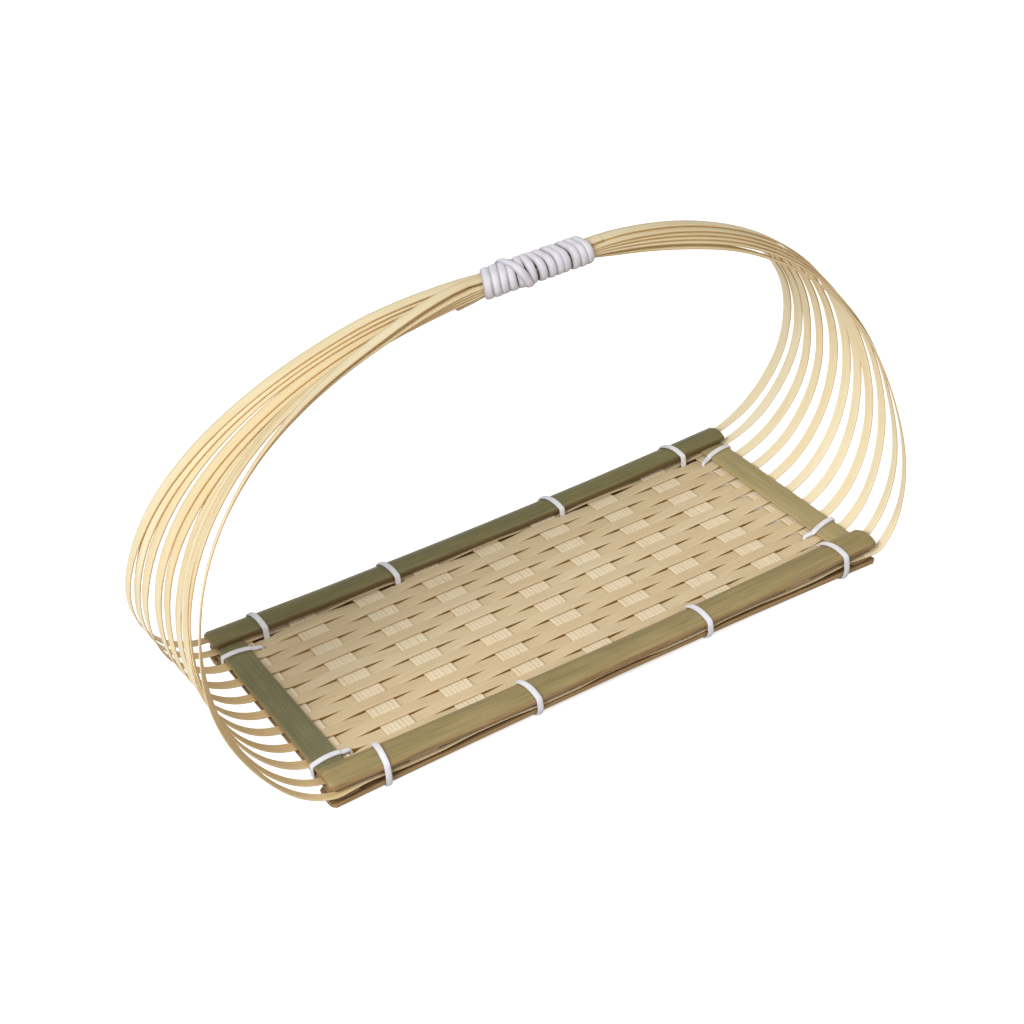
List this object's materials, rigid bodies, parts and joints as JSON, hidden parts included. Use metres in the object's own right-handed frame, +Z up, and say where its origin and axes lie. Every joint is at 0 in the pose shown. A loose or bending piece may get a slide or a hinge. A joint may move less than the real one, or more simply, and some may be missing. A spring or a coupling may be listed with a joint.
{
  "type": "bamboo serving basket",
  "caption": "Shallow woven bamboo serving tray in a lashed frame of split bamboo, with an arched handle of long flared strips bound in a cord-wrapped grip.",
  "frame": {"origin": "on the surface the basket stands on, under the middle of the tray", "axes": "+Z up; X along the tray and the handle's arch, with the grip's offset side at +X; Y across the tray, its front side at -Y"},
  "size_m": [0.3634, 0.138, 0.1842],
  "materials": {
    "rail_skin": "satin split bamboo, olive-brown skin outward",
    "rail_underside": "split bamboo, pale fibrous inner face upward",
    "crossbar_skin": "satin split bamboo, olive skin outward",
    "splint": "fine pale bamboo splints side by side",
    "strip": "dry shaved bamboo, fine grain along its length",
    "stave": "smooth pale bamboo, slightly glossy",
    "cord": "matt white twisted cotton cord"
  },
  "bodies": {
    "root": {"top_rail_front": "rail_skin", "top_rail_back": "rail_skin", "bottom_rail_front": "rail_underside", "bottom_rail_back": "rail_underside", "top_crossbar_left": "crossbar_skin", "top_crossbar_right": "crossbar_skin", "bottom_crossbar_left": "crossbar_skin", "bottom_crossbar_right": "crossbar_skin", "cross_bundle_01": "splint", "cross_bundle_02": "splint", "cross_bundle_03": "splint", "cross_bundle_04": "splint", "cross_bundle_05": "splint", "cross_bundle_06": "splint", "cross_bundle_07": "splint", "cross_bundle_08": "splint", "cross_bundle_09": "splint", "mat_strip_01": "strip", "mat_strip_02": "strip", "mat_strip_03": "strip", "mat_strip_04": "strip", "mat_strip_05": "strip", "mat_strip_06": "strip", "mat_strip_07": "strip", "mat_strip_08": "strip", "mat_strip_09": "strip", "mat_strip_10": "strip", "handle_stave_01": "stave", "handle_stave_02": "stave", "handle_stave_03": "stave", "handle_stave_04": "stave", "handle_stave_05": "stave", "handle_stave_06": "stave", "handle_stave_07": "stave", "handle_stave_08": "stave", "handle_stave_09": "stave", "handle_stave_10": "stave", "handle_stave_11": "stave", "grip_winding": "cord", "rail_tie_front_1": "cord", "rail_tie_front_2": "cord", "rail_tie_front_3": "cord", "rail_tie_front_4": "cord", "rail_tie_back_1": "cord", "rail_tie_back_2": "cord", "rail_tie_back_3": "cord", "rail_tie_back_4": "cord", "crossbar_tie_left_front": "cord", "crossbar_tie_left_back": "cord", "crossbar_tie_right_front": "cord", "crossbar_tie_right_back": "cord"}
  },
  "joints": []
}
